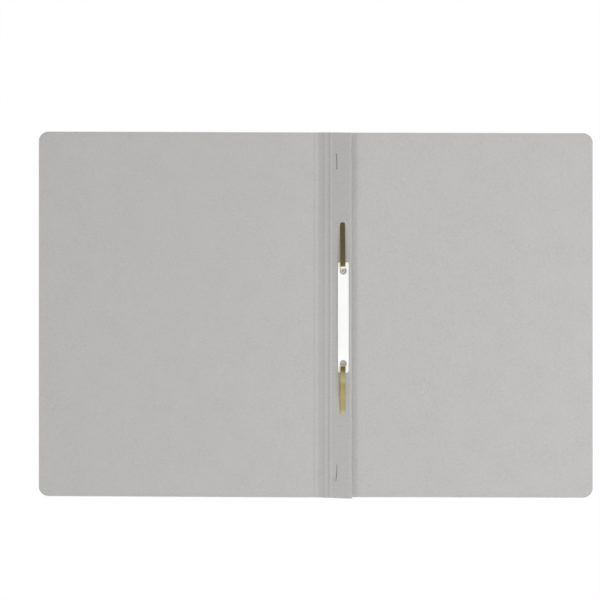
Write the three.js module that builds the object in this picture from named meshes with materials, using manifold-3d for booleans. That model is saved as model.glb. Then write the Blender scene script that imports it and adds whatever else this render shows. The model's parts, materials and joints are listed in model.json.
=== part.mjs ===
// An A4 card file folder with a two-prong fastener, lying open with its inside up.
// Lengths are in millimetres and +Z is up. The spine runs along Y, the back cover lies to +X and the
// front cover to -X. The card is one folded blank. Going round from the back cover it folds over at the
// spine, runs out as the lower layer of the flap, turns back at the folded edge as the upper layer, and
// folds at the spine again into the hinge strip and the front cover. The flap and the front both swing
// about the spine line. Each moving piece hangs in a group at its own fold line.

import * as THREE from "three";
import { mergeVertices } from "three/addons/utils/BufferGeometryUtils.js";
import Module from "manifold-3d";

// Card blank
const CARD = 0.4;
const SHEET_HEIGHT = 318;
const BACK_WIDTH = 239.3;
const FRONT_WIDTH = 244.4;
const HINGE_STRIP_WIDTH = 14.4;
const CORNER_RADIUS = 8.5;

// Fastener flap: its reach from the spine, and how far its lower layer springs up
const FLAP_WIDTH = 29;
const LOWER_TILT = THREE.MathUtils.degToRad(3.6);

// Folds: space between two layers at the spine, end gap between two panels at a fold, and how high a
// fold line lies above the inner face of the card
const LAYER_GAP = 0.2;
const FOLD_GAP = 0.1;
const CREASE_AXIS_LIFT = 0.03;
const SPINE_AXIS_LIFT = 0.1;

// Metal fastener strip: 80 mm is the standard spacing of punched holes
const HOLE_SPACING = 80;
const FASTENER_INSET = 7.3;
const FASTENER_SHIFT = -1.8;
const STRIP_THICKNESS = 0.3;
const STRIP_CLEARANCE = 0.2;
const PRONG_WIDTH = 4.4;
const PRONG_LENGTH = 42;
const PRONG_RISE = 2.2;
const TIP_GAP = 0.15;
const BEND_GAP = 0.3;
const SLOT_CLEARANCE = 0.3;

// Plastic cover bar
const BAR_WIDTH = 9.5;
const BAR_END = 8;
const BAR_THICKNESS = 1.2;
const BAR_CORNER = 1.6;
const BAR_BEVEL = 0.2;
const BAR_SEAT_GAP = 0.15;
const BAR_HOLE_ROOM = 0.8;
const RISER_CLEARANCE = 0.25;

// Wire staples
const STAPLE_INSET = 13.6;
const STAPLE_FROM_END = 23.6;
const STAPLE_LENGTH = 14;
const STAPLE_TAIL = 4;
const WIRE = 0.45;
const STAPLE_CLEARANCE = 0.12;

// Facets in the rounded folded edge of the flap, and in each arc of an outline
const EDGE_STEPS = 12;
const ARC_STEPS = 12;

// Layers at the spine
const layerStep = CARD + LAYER_GAP;
const lowerBase = layerStep;
const upperBase = 2 * layerStep;

// Places across the flap, measured along its upper layer
const prongAxis = FLAP_WIDTH - FASTENER_INSET;
const stapleAxis = FLAP_WIDTH - STAPLE_INSET;

// The upper layer leans more than the lower one, so that the metal strip fits between them
const stripEdge = prongAxis - PRONG_WIDTH / 2;
const spread = (STRIP_THICKNESS + 2 * STRIP_CLEARANCE - LAYER_GAP) / stripEdge;
const upperTilt = Math.atan(Math.tan(LOWER_TILT) + spread);

// Heights above the underside of the upper layer
const barBase = CARD + BAR_SEAT_GAP;
const barTop = barBase + BAR_THICKNESS;
const bendHeight = barTop + PRONG_RISE;
const tipHeight = CARD + TIP_GAP + STRIP_THICKNESS / 2;
const stripTop = -STRIP_CLEARANCE;
const stripBase = stripTop - STRIP_THICKNESS;

// The risers stand as far out in the bar's round holes as their width allows
const barHoleRadius = PRONG_WIDTH / 2 + BAR_HOLE_ROOM;
const riserReach = barHoleRadius - RISER_CLEARANCE;
const riserOffset = Math.sqrt(riserReach ** 2 - (PRONG_WIDTH / 2) ** 2) - STRIP_THICKNESS / 2;
const riserY = HOLE_SPACING / 2 + riserOffset;

// The prongs are folded outwards and droop until their tips lie on the flap
const prongDroop = Math.asin((bendHeight - tipHeight) / PRONG_LENGTH);

const cardMaterial = new THREE.MeshStandardMaterial({ color: 0xbdbcba, roughness: 0.9 });
const brassMaterial = new THREE.MeshStandardMaterial({ color: 0xb09f54, roughness: 0.4, metalness: 1 });
const plasticMaterial = new THREE.MeshStandardMaterial({ color: 0xf4f4f1, roughness: 0.45 });
const steelMaterial = new THREE.MeshStandardMaterial({ color: 0x9a9a98, roughness: 0.4, metalness: 1 });

const wasm = await Module();
wasm.setup();

function named(name, geometry, material) {
  const mesh = new THREE.Mesh(geometry, material);
  mesh.name = name;
  return mesh;
}

function groupAt(x, y, z) {
  const group = new THREE.Group();
  group.position.set(x, y, z);
  return group;
}

function toManifold(geometry) {
  const bare = geometry.clone();
  bare.deleteAttribute("normal");
  bare.deleteAttribute("uv");
  const merged = mergeVertices(bare, 1e-4);
  const vertProperties = new Float32Array(merged.attributes.position.array);
  const triVerts = new Uint32Array(merged.index.array);
  return new wasm.Manifold(new wasm.Mesh({ numProp: 3, vertProperties, triVerts }));
}

function fromManifold(solid) {
  const mesh = solid.getMesh();
  const geometry = new THREE.BufferGeometry();
  geometry.setAttribute("position", new THREE.BufferAttribute(mesh.vertProperties, 3));
  geometry.setIndex(new THREE.BufferAttribute(mesh.triVerts, 1));
  return geometry;
}

function plainExtrude(shape, depth) {
  return new THREE.ExtrudeGeometry(shape, { depth, bevelEnabled: false, curveSegments: ARC_STEPS });
}

// A flat sheet of card from x = from to x = to, with its two corners rounded at the end called round
function sheetGeometry(from, to, round) {
  const half = SHEET_HEIGHT / 2;
  const radius = CORNER_RADIUS;
  const shape = new THREE.Shape();
  if (round === "left") {
    shape.moveTo(to, -half);
    shape.lineTo(to, half);
    shape.absarc(from + radius, half - radius, radius, Math.PI / 2, Math.PI, false);
    shape.absarc(from + radius, radius - half, radius, Math.PI, 1.5 * Math.PI, false);
  } else if (round === "right") {
    shape.moveTo(from, half);
    shape.lineTo(from, -half);
    shape.absarc(to - radius, radius - half, radius, -Math.PI / 2, 0, false);
    shape.absarc(to - radius, half - radius, radius, 0, Math.PI / 2, false);
  } else {
    shape.moveTo(from, -half);
    shape.lineTo(to, -half);
    shape.lineTo(to, half);
    shape.lineTo(from, half);
  }
  shape.closePath();
  return plainExtrude(shape, CARD);
}

// Extrudes an outline drawn in Y and Z along X, centred on x = 0
function alongX(shape, width) {
  const geometry = plainExtrude(shape, width).translate(0, 0, -width / 2);
  const toYZ = new THREE.Matrix4().makeBasis(
    new THREE.Vector3(0, 1, 0),
    new THREE.Vector3(0, 0, 1),
    new THREE.Vector3(1, 0, 0),
  );
  return geometry.applyMatrix4(toYZ);
}

function boxAt(width, length, height, x, y, z) {
  return new THREE.BoxGeometry(width, length, height).translate(x, y, z);
}

// The flap in section: the middle line of the card runs out along the lower layer, turns round the
// folded edge on an arc that touches both layers, and comes back along the upper layer to the spine
function flapMiddleLine() {
  const lowerStart = lowerBase + CARD / 2 / Math.cos(LOWER_TILT);
  const upperStart = upperBase + CARD / 2 / Math.cos(upperTilt);
  const reach = FLAP_WIDTH - CARD / 2;
  const lean = Math.sin(upperTilt) - Math.cos(upperTilt) * Math.tan(LOWER_TILT);
  const rise = Math.cos(upperTilt) * (upperStart - lowerStart);
  const radius = (reach * lean + rise) / (1 + Math.cos(upperTilt) / Math.cos(LOWER_TILT) + lean);
  const centreX = reach - radius;
  const centreZ = lowerStart + radius / Math.cos(LOWER_TILT) + centreX * Math.tan(LOWER_TILT);
  const start = FOLD_GAP / 2;
  const line = [new THREE.Vector2(start, lowerStart + start * Math.tan(LOWER_TILT))];
  const first = LOWER_TILT - Math.PI / 2;
  const last = upperTilt + Math.PI / 2;
  for (let i = 0; i <= EDGE_STEPS; i += 1) {
    const angle = first + ((last - first) * i) / EDGE_STEPS;
    line.push(new THREE.Vector2(centreX + radius * Math.cos(angle), centreZ + radius * Math.sin(angle)));
  }
  line.push(new THREE.Vector2(start, upperStart + start * Math.tan(upperTilt)));
  return line;
}

// Gives a middle line the thickness of the card and closes it into an outline
function thicken(line) {
  const outer = [];
  const inner = [];
  line.forEach((point, i) => {
    const before = line[Math.max(i - 1, 0)];
    const after = line[Math.min(i + 1, line.length - 1)];
    const along = after.clone().sub(before).normalize();
    const side = new THREE.Vector2(along.y, -along.x).multiplyScalar(CARD / 2);
    outer.push(point.clone().add(side));
    inner.push(point.clone().sub(side));
  });
  return new THREE.Shape([...outer, ...inner.reverse()]);
}

function flapSolid() {
  const section = thicken(flapMiddleLine());
  const geometry = plainExtrude(section, SHEET_HEIGHT).rotateX(Math.PI / 2);
  return toManifold(geometry.translate(0, SHEET_HEIGHT / 2, 0));
}

// Slots for the risers, through the upper layer only
function slotCutters() {
  const width = PRONG_WIDTH + 2 * SLOT_CLEARANCE;
  const length = STRIP_THICKNESS + 2 * SLOT_CLEARANCE;
  const height = CARD + 2 * LAYER_GAP;
  const places = [FASTENER_SHIFT + riserY, FASTENER_SHIFT - riserY];
  return places.map((y) => boxAt(width, length, height, prongAxis, y, CARD / 2));
}

// Places of the two staples along the spine
function stapleCentres() {
  const reach = SHEET_HEIGHT / 2 - STAPLE_FROM_END;
  return [FASTENER_SHIFT + reach, FASTENER_SHIFT - reach];
}

// Depth from the underside of the upper layer down to the underside of the lower one, at the staples
function stapleDepth() {
  return layerStep + stapleAxis * (Math.tan(upperTilt) - Math.tan(LOWER_TILT));
}

// Holes for the staples' legs, through both layers
function stapleCutters() {
  const width = WIRE + 2 * STAPLE_CLEARANCE;
  const height = stapleDepth() + 2 * CARD;
  const middle = (CARD - stapleDepth()) / 2;
  const leg = (STAPLE_LENGTH - WIRE) / 2;
  const places = stapleCentres().flatMap((y) => [y + leg, y - leg]);
  return places.map((y) => boxAt(width, width, height, stapleAxis, y, middle));
}

function flapGeometry(placed) {
  let solid = flapSolid();
  for (const cutter of [...slotCutters(), ...stapleCutters()]) {
    solid = solid.subtract(toManifold(cutter.applyMatrix4(placed)));
  }
  return fromManifold(solid);
}

// Metal strip in section along the spine: a flat base with a riser at each end
function stripGeometry() {
  const outside = riserY + STRIP_THICKNESS / 2;
  const inside = riserY - STRIP_THICKNESS / 2;
  const top = bendHeight - BEND_GAP;
  const shape = new THREE.Shape();
  shape.moveTo(-outside, stripBase);
  shape.lineTo(outside, stripBase);
  shape.lineTo(outside, top);
  shape.lineTo(inside, top);
  shape.lineTo(inside, stripTop);
  shape.lineTo(-inside, stripTop);
  shape.lineTo(-inside, top);
  shape.lineTo(-outside, top);
  shape.closePath();
  return alongX(shape, PRONG_WIDTH);
}

// A prong points along +Y from its bend line and ends in a half round
function prongGeometry() {
  const half = PRONG_WIDTH / 2;
  const shape = new THREE.Shape();
  shape.moveTo(-half, BEND_GAP / 2);
  shape.lineTo(half, BEND_GAP / 2);
  shape.absarc(0, PRONG_LENGTH - half, half, 0, Math.PI, false);
  shape.closePath();
  return plainExtrude(shape, STRIP_THICKNESS).translate(0, 0, -STRIP_THICKNESS / 2);
}

function barGeometry() {
  const x = BAR_WIDTH / 2 - BAR_BEVEL;
  const y = HOLE_SPACING / 2 + BAR_END - BAR_BEVEL;
  const r = BAR_CORNER;
  const shape = new THREE.Shape();
  shape.moveTo(-x, r - y);
  shape.absarc(r - x, r - y, r, Math.PI, 1.5 * Math.PI, false);
  shape.absarc(x - r, r - y, r, 1.5 * Math.PI, 2 * Math.PI, false);
  shape.absarc(x - r, y - r, r, 0, Math.PI / 2, false);
  shape.absarc(r - x, y - r, r, Math.PI / 2, Math.PI, false);
  for (const side of [1, -1]) {
    const hole = new THREE.Path();
    hole.absarc(0, (side * HOLE_SPACING) / 2, barHoleRadius + BAR_BEVEL, 0, 2 * Math.PI, true);
    shape.holes.push(hole);
  }
  const bevel = { bevelEnabled: true, bevelSegments: 1, bevelSize: BAR_BEVEL, bevelThickness: BAR_BEVEL };
  const depth = BAR_THICKNESS - 2 * BAR_BEVEL;
  const solid = new THREE.ExtrudeGeometry(shape, { depth, curveSegments: ARC_STEPS, ...bevel });
  return solid.translate(0, 0, BAR_BEVEL);
}

// A staple in section along the spine: crown, two legs, and two tails clinched inwards under the flap
function stapleGeometry() {
  const half = STAPLE_LENGTH / 2;
  const crownBase = CARD + STAPLE_CLEARANCE;
  const tailTop = -stapleDepth() - STAPLE_CLEARANCE;
  const tailEnd = half - STAPLE_TAIL;
  const shape = new THREE.Shape();
  shape.moveTo(-half, crownBase + WIRE);
  shape.lineTo(-half, tailTop - WIRE);
  shape.lineTo(-tailEnd, tailTop - WIRE);
  shape.lineTo(-tailEnd, tailTop);
  shape.lineTo(WIRE - half, tailTop);
  shape.lineTo(WIRE - half, crownBase);
  shape.lineTo(half - WIRE, crownBase);
  shape.lineTo(half - WIRE, tailTop);
  shape.lineTo(tailEnd, tailTop);
  shape.lineTo(tailEnd, tailTop - WIRE);
  shape.lineTo(half, tailTop - WIRE);
  shape.lineTo(half, crownBase + WIRE);
  shape.closePath();
  return alongX(shape, WIRE);
}

// Card panel that hangs to the left of its fold line, whose inner face is lift below the line
function leftPanel(name, width, lift, round) {
  const geometry = sheetGeometry(-width, -FOLD_GAP / 2, round);
  return named(name, geometry.translate(0, 0, -lift - CARD), cardMaterial);
}

// Puts a prong on its bend line in the upper layer's frame: side is 1 towards +Y and -1 towards -Y
function addProng(layer, name, side) {
  const bend = groupAt(prongAxis, FASTENER_SHIFT + side * riserY, bendHeight);
  bend.name = name + "_bend";
  bend.rotation.set(-side * prongDroop, 0, 0);
  const prong = named(name, prongGeometry(), brassMaterial);
  prong.rotation.z = side > 0 ? 0 : Math.PI;
  bend.add(prong);
  layer.add(bend);
}

function addFastener(layer) {
  const strip = named("fastener_strip", stripGeometry(), brassMaterial);
  strip.position.set(prongAxis, FASTENER_SHIFT, 0);
  const bar = named("cover_bar", barGeometry(), plasticMaterial);
  bar.position.set(prongAxis, FASTENER_SHIFT, barBase);
  layer.add(strip, bar);
  addProng(layer, "prong_upper", 1);
  addProng(layer, "prong_lower", -1);
}

function addStaples(layer) {
  const names = ["staple_upper", "staple_lower"];
  stapleCentres().forEach((y, i) => {
    const staple = named(names[i], stapleGeometry(), steelMaterial);
    staple.position.set(stapleAxis, y, 0);
    layer.add(staple);
  });
}

// Height of the spine line, about which the flap and the front swing, and its place across the spine
function spineLine() {
  const lift = CARD + SPINE_AXIS_LIFT;
  return new THREE.Vector3(-lift * Math.sin(upperTilt), 0, upperBase + lift * Math.cos(upperTilt));
}

// Angle at which the front falls away from the spine line, so that its free edge lies on the table
function frontFall() {
  const drop = SPINE_AXIS_LIFT + CARD;
  return Math.asin(spineLine().z / Math.hypot(FRONT_WIDTH, drop)) - Math.atan2(drop, FRONT_WIDTH);
}

// Hinge strip on the spine line, and the front cover on the crease at the strip's far edge
function makeFront() {
  const front = groupAt(0, 0, 0);
  front.name = "spine_line";
  front.position.copy(spineLine());
  front.rotation.y = -frontFall();
  front.add(leftPanel("hinge_strip", HINGE_STRIP_WIDTH - FOLD_GAP / 2, SPINE_AXIS_LIFT, "none"));

  const crease = groupAt(-HINGE_STRIP_WIDTH, 0, CREASE_AXIS_LIFT - SPINE_AXIS_LIFT);
  crease.name = "front_crease";
  crease.add(leftPanel("front_cover", FRONT_WIDTH - HINGE_STRIP_WIDTH, CREASE_AXIS_LIFT, "left"));
  front.add(crease);
  return front;
}

// The flap with all that it carries, hung on the spine line
function makeFlap() {
  const hung = groupAt(0, 0, 0);
  hung.position.copy(spineLine());

  const layer = groupAt(0, 0, 0);
  layer.name = "upper_layer";
  layer.position.copy(spineLine()).negate();
  layer.position.z += upperBase;
  layer.rotation.y = -upperTilt;
  hung.add(layer);
  hung.updateMatrixWorld(true);

  const flap = named("fastener_flap", flapGeometry(layer.matrixWorld), cardMaterial);
  flap.position.copy(spineLine()).negate();
  hung.add(flap);
  addFastener(layer);
  addStaples(layer);
  return hung;
}

function makeFolder() {
  const folder = new THREE.Group();
  folder.add(named("back_cover", sheetGeometry(0, BACK_WIDTH, "right"), cardMaterial));
  folder.add(makeFlap(), makeFront());

  // The origin is on the table, under the middle of the open folder
  const middle = new THREE.Box3().setFromObject(folder, true).getCenter(new THREE.Vector3());
  folder.position.x = -middle.x;
  return folder;
}

export default makeFolder();
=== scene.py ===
import json
import math

import bmesh
import bpy
import numpy as np
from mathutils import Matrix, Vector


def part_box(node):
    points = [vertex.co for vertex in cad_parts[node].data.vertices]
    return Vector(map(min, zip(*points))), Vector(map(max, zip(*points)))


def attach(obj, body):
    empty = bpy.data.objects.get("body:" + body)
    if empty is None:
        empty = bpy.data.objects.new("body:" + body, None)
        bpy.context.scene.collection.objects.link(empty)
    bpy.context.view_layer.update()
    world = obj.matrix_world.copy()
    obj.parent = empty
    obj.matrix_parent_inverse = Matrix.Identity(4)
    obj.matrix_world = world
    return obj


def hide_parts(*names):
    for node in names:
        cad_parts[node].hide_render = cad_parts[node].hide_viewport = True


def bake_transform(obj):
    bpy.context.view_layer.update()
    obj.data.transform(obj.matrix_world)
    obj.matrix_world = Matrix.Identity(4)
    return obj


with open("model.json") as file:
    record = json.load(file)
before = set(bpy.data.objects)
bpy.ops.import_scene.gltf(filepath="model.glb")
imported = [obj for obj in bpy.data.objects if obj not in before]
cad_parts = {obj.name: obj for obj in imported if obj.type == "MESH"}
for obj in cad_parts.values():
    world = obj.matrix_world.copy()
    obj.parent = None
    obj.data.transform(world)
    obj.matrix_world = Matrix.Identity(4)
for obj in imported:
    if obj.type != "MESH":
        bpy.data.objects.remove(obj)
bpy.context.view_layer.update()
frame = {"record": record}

# A card file folder with a two-prong fastener. Lengths are in millimetres and become metres in the meshes.
# The spine runs along Y, the back cover lies to +X and the front cover to -X.
MM = 0.001

BACK_LOW, BACK_HIGH = (np.array(corner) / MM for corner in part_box("back_cover"))
FRONT_LOW = np.array(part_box("front_cover")[0]) / MM
JOINTS = {joint["name"]: joint for joint in frame["record"]["behaviour"]["joints"]}


def joint_place(name):
    """Place of a joint, in millimetres."""
    return np.array(JOINTS[name]["pos_m"]) / MM


SPINE = joint_place("cover_swing")
CREASE = joint_place("front_crease_fold")
UPPER_BEND = joint_place("prong_upper_fold")
LOWER_BEND = joint_place("prong_lower_fold")

# Card blank
CARD = BACK_HIGH[2] - BACK_LOW[2]
HALF_HEIGHT = BACK_HIGH[1]
CORNER_RADIUS = 8.5
CARD_EDGE_ROUND = 0.11
BACK_LEFT = BACK_LOW[0]
BACK_RIGHT = BACK_HIGH[0]
FRONT_REACH = SPINE[0] - FRONT_LOW[0]
CREASE_REACH = SPINE[0] - CREASE[0]
# The front cover's free edge stops this far short of the solid's, as measured in the photo
FRONT_TRIM = 0.6
# The middle of the front sheet starts this far below the spine line
SPINE_DROP = 0.3
OUTER_DROP = SPINE_DROP + CARD / 2
FRONT_FALL = math.asin(SPINE[2] / math.hypot(FRONT_REACH, OUTER_DROP)) - math.atan2(OUTER_DROP, FRONT_REACH)

# Layers of the flap: the upper one leans more than the lower one
LOWER_MIDDLE = 0.8
UPPER_BASE = 1.2
FLAP_WIDTH = 29.35
LOWER_TILT = math.radians(3.6)
LIFT_AXIS = np.array(JOINTS["bar_lift"]["axis"])
UPPER_TILT = math.atan2(-LIFT_AXIS[0], LIFT_AXIS[2])
LAYER_ALONG = np.array([math.cos(UPPER_TILT), 0.0, math.sin(UPPER_TILT)])
LAYER_UP = np.array([-math.sin(UPPER_TILT), 0.0, math.cos(UPPER_TILT)])
LAYER_START = np.array([BACK_LEFT, 0.0, UPPER_BASE])

# Fastener, measured in the frame of the upper layer
PRONG_AXIS = float((UPPER_BEND - LAYER_START) @ LAYER_ALONG)
BEND_HEIGHT = float((UPPER_BEND - LAYER_START) @ LAYER_UP)
FASTENER_MIDDLE = (UPPER_BEND[1] + LOWER_BEND[1]) / 2
RISER_REACH = (UPPER_BEND[1] - LOWER_BEND[1]) / 2
METAL = 0.3
METAL_EDGE = 0.06
PRONG_WIDTH = 4.4
PRONG_NECK = 4.0
NECK_END, NECK_FULL = 0.8, 4.0
PRONG_LENGTHS = {"upper": 40.9, "lower": 43.9}
PRONG_DRIFTS = {"upper": -0.55, "lower": -0.45}
PRONG_ARCHES = {"upper": 0.55, "lower": 2.0}
PRONG_TIP_HEIGHT = 0.75
BEND_RADIUS = 2.3
# Radius of the base's lower bends, and the height of its middle line along the bottom, in the upper layer's
# frame
BASE_RADIUS = 0.5
BASE_HEIGHT = -0.35

BAR_WIDTH = 9.5
BAR_HALF = 48.0
BAR_BASE = 0.55
BAR_THICKNESS = 1.2
BAR_CORNER = 1.6
# The bar's outline lies this far off the middle of the fastener, towards the foot of the folder
BAR_SHIFT = -0.3
BAR_HOLE = 3.0
BAR_ROUND = 0.28
UPPER_HOLE = 40.0
LOWER_HOLE = -40.3

# Painted pinhole in the flap's card, seen through the bar's upper hole: a dark spot of painted shade for the
# slot where the riser comes through, with a pale rim. Its place from the foot of the upper riser, then the
# radii where its painted shade and its pale rim are full and where they have run out
PINHOLE = (-0.35, -1.25)
PINHOLE_SHADE = (0.6, 1.0)
PINHOLE_RIM = (1.2, 1.8)

# Staples, in the frame of the upper layer
STAPLE_AXIS = 16.2
STAPLE_REACH = HALF_HEIGHT - 23.6
STAPLE_HALF = 7.2
STAPLE_TAIL = 4.0
STAPLE_BEND = 0.4
STAPLE_CROWN_GAP, STAPLE_CROWN_RISE = 0.04, 0.03
STAPLE_TAIL_GAP, STAPLE_TAIL_RISE = 0.05, 0.1
# One end of each crown is bent towards the spine: the length that bends, and how far its end lies off
STAPLE_KINKS = {"upper": (1.8, 0.7), "lower": (0.9, 1.4)}
WIRE = 0.45

# The sheets lie a little askew: the free edges of the flap and of the back cover are shifted this far towards
# the foot of the folder, and the front cover's towards its top. The back cover is straight up to a point.
FLAP_SKEW = 0.55
BACK_SKEW = 0.45
BACK_STRAIGHT = 40.0
FRONT_SKEW = 1.0
SKEW_START = 1.5

# Length of card that bends at each fold
SPINE_BEND = 1.3
CREASE_BEND = 1.5

# Waves of the covers: mean height and height of the slow, the crossing and the fine wave, then their lengths
# along X and along Y, divided by a full turn, and the shifts of the first two
WAVE_MEAN = 0.10
WAVE_HEIGHTS = (0.05, 0.03, 0.015)
SLOW_WAVE, SLOW_SHIFT = (61.0, 73.0), (0.6, -0.4)
CROSS_WAVE, CROSS_SLANT, CROSS_SHIFT = 37.0, 0.7, 1.9
FINE_WAVE = (17.0, 23.0)
# The waves start this far from the spine or the crease and are full this far from it
WAVE_START, WAVE_FULL = 5.0, 60.0
# Sheets lie this far above the solids that they stand for, from this distance from the spine on
HAIR = 0.04
HAIR_FULL = 8.0

# Pressed forms of the front sheet: a step beside the spine, with the places where it falls and where it runs
# out, a ridge along the crease and the groove in the outer face below it, each with its half width
STEP_DEPTH = 0.12
STEP_FALL = (1.8, 3.6)
STEP_END = (4.2, 13.0)
CREASE_RIDGE, CREASE_RIDGE_HALF = 0.03, 1.2
CREASE_GROOVE, CREASE_GROOVE_HALF = 0.13, 1.0
# Pressed forms of the flap's upper layer: soft steps, each with its height, its start and its end. The first
# two make the first score line, the next two the second one, and the last two a dip that runs out flat.
FLAP_STEPS = ((0.10, 3.6, 6.2), (-0.10, 6.2, 8.4), (0.13, 8.4, 10.5), (-0.10, 10.5, 12.5),
              (0.045, 12.5, 14.5), (-0.075, 15.0, 26.0))

# Painted light and shade on the card, as shares of darkening: painted shade over the whole flap for its tilt,
# more of it towards the top, painted shade with a painted highlight at each score line, a painted highlight
# before the folded edge and painted shade beside the spine. A line is a ridge with its height, its peak and
# its widths before and after the peak, by the distance from the spine. A negative height is a paler line, a
# painted highlight.
FLAP_SHADE, FLAP_TONE_START, FLAP_TONE_FULL = 0.083, -0.6, 1.0
FLAP_TOP_SHADE, TOP_TONE_START, TOP_TONE_FULL = 0.03, -20.0, 110.0
# Painted shade and painted highlight at the two score lines, and a painted highlight before the folded edge
FIRST_LINES = ((0.06, 4.5, 1.5, 1.2), (-0.03, 6.7, 1.0, 1.0))
SECOND_LINES = ((0.11, 9.1, 1.1, 0.9), (-0.06, 10.9, 0.9, 1.4))
EDGE_LINES = ((-0.07, 28.1, 1.3, 1.3),)
# The second line lies this much further from the spine above the middle of the folder than below
LINE_DRIFT, DRIFT_START = 0.45, -60.0
# Painted shade on the hinge strip: a dark line at the step beside the spine, and more shade at the spine fold
STRIP_LINES = ((0.07, 3.7, 1.0, 1.1),)
SPINE_SHADE, SPINE_TONE_END = 0.05, 1.4
# Painted shade on the back cover along the flap's edge: it rises once before the edge, where the flap hides
# the cover, and once after it, a painted shadow, at these distances from the edge, and ends at these
# distances from the spine
BAND_SHADE = 0.05
BAND_RISES = ((-4.0, -1.0), (0.5, 2.5))
BAND_END = (32.0, 36.0)


def linear(red, green, blue):
    """Linear colour of a screen colour given as 0 to 255."""
    share = np.array([red, green, blue]) / 255.0
    return (*np.where(share <= 0.04045, share / 12.92, ((share + 0.055) / 1.055) ** 2.4), 1.0)


def smooth(low, high, value):
    """Rises from 0 at low to 1 at high along 3t^2 - 2t^3."""
    t = np.clip((value - low) / (high - low), 0.0, 1.0)
    return t * t * (3.0 - 2.0 * t)


def ridge(value, peak, left, right):
    """A soft ridge of height 1 at peak, which falls to 0 over left before it and over right after it."""
    return smooth(peak - left, peak, value) * (1.0 - smooth(peak, peak + right, value))


def steps(value, rows):
    """Sum of soft steps, each given by its height and by where it starts and ends."""
    return sum(height * smooth(start, end, value) for height, start, end in rows)


def ridges(value, rows):
    """Sum of soft ridges, each given by its height, its peak and its widths before and after the peak."""
    return sum(height * ridge(value, peak, left, right) for height, peak, left, right in rows)


# Shapes of the card in section, across the spine

def waves(x, y):
    """Slow waves of a card that has been handled, a fifth of a millimetre high in all: the product of a sine
    along X and a cosine along Y, a sine along a slant and a shorter sine across it."""
    slow = np.sin(x / SLOW_WAVE[0] + SLOW_SHIFT[0]) * np.cos(y / SLOW_WAVE[1] + SLOW_SHIFT[1])
    cross = np.sin((x + CROSS_SLANT * y) / CROSS_WAVE + CROSS_SHIFT)
    fine = np.sin(x / FINE_WAVE[0] - y / FINE_WAVE[1])
    return WAVE_MEAN + WAVE_HEIGHTS[0] * slow + WAVE_HEIGHTS[1] * cross + WAVE_HEIGHTS[2] * fine


def front_relief(reach):
    """Pressed forms of the front sheet, by the distance from the spine: a step down beside the spine that
    runs out slowly, and a low ridge along the crease."""
    step = -STEP_DEPTH * smooth(*STEP_FALL, reach) * (1.0 - smooth(*STEP_END, reach))
    return step + CREASE_RIDGE * ridge(reach, CREASE_REACH, CREASE_RIDGE_HALF, CREASE_RIDGE_HALF)


def crease_press(reach):
    """Depth of the groove that the creasing rule leaves in the outer face."""
    return CREASE_GROOVE * ridge(reach, CREASE_REACH, CREASE_GROOVE_HALF, CREASE_GROOVE_HALF)


def front_line(reach):
    """Middle line of the front sheet at a distance from the spine: a straight fall to the table plus the
    pressed forms."""
    x = SPINE[0] - reach * math.cos(FRONT_FALL)
    z = SPINE[2] - SPINE_DROP - reach * math.sin(FRONT_FALL) + front_relief(reach)
    return x, z


def flap_relief(along):
    """Pressed forms of the upper layer, by the distance from the spine: each of the two score lines is a
    low ridge, and behind the second one the card dips once and runs out flat."""
    return steps(along, FLAP_STEPS)


def flap_skew(x):
    """Shift along the spine of the flap's card, growing from the spine to the folded edge."""
    return -FLAP_SKEW * smooth(SKEW_START, FLAP_WIDTH, x - BACK_LEFT)


def back_skew(x):
    """Shift along the spine of the back cover, growing softly towards its free edge."""
    return -BACK_SKEW * smooth(BACK_STRAIGHT, BACK_RIGHT, x)


def front_skew(x):
    """Shift along the spine of the front cover, growing evenly from the crease to its free edge."""
    return FRONT_SKEW * (CREASE[0] - x) / (FRONT_REACH - CREASE_REACH)


def flap_painted_light(x, y, z):
    """Share of darkening of the flap's card, all painted light and shade: painted shade all over for the
    flap's tilt, a little more towards the top, a dark line of painted shade with a pale one of painted
    highlight beyond it at each score line, and a pale line of painted highlight before the folded edge. The
    second score line drifts along the spine."""
    along = x - BACK_LEFT
    drifted = along - LINE_DRIFT * smooth(DRIFT_START, 0.0, y)
    tone = FLAP_SHADE * smooth(FLAP_TONE_START, FLAP_TONE_FULL, along)
    tone = tone + FLAP_TOP_SHADE * smooth(TOP_TONE_START, TOP_TONE_FULL, y)
    return tone + ridges(along, FIRST_LINES) + ridges(drifted, SECOND_LINES) + ridges(along, EDGE_LINES)


def strip_painted_shade(x, y, z):
    """Share of darkening of the hinge strip, all painted shade: a line at the step beside the spine, and a
    soft rise towards the spine."""
    reach = SPINE[0] - x
    return ridges(reach, STRIP_LINES) + SPINE_SHADE * (1 - smooth(0.0, SPINE_TONE_END, reach))


def back_painted_shadow(x, y, z):
    """Share of darkening of the back cover, all painted shade: a band along the flap's folded edge, once as
    dark where the flap hides it and twice as dark beside the edge, a painted shadow, which then runs out."""
    along = x - BACK_LEFT
    under, beside = (smooth(FLAP_WIDTH + start, FLAP_WIDTH + end, along) for start, end in BAND_RISES)
    return BAND_SHADE * (under + beside) * (1 - smooth(*BAND_END, along))


def flap_arc():
    """Centre and radius of the folded edge: the circle that touches both layers and reaches the flap's
    full width."""
    lower = LOWER_MIDDLE + CARD / 2 * (1 / math.cos(LOWER_TILT) - 1)
    upper = UPPER_BASE + CARD / 2 / math.cos(UPPER_TILT)
    reach = FLAP_WIDTH - CARD / 2
    lean = math.sin(UPPER_TILT) - math.cos(UPPER_TILT) * math.tan(LOWER_TILT)
    rise = math.cos(UPPER_TILT) * (upper - lower)
    radius = (reach * lean + rise) / (1 + math.cos(UPPER_TILT) / math.cos(LOWER_TILT) + lean)
    x = reach - radius
    return x, lower + radius / math.cos(LOWER_TILT) + x * math.tan(LOWER_TILT), radius


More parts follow.
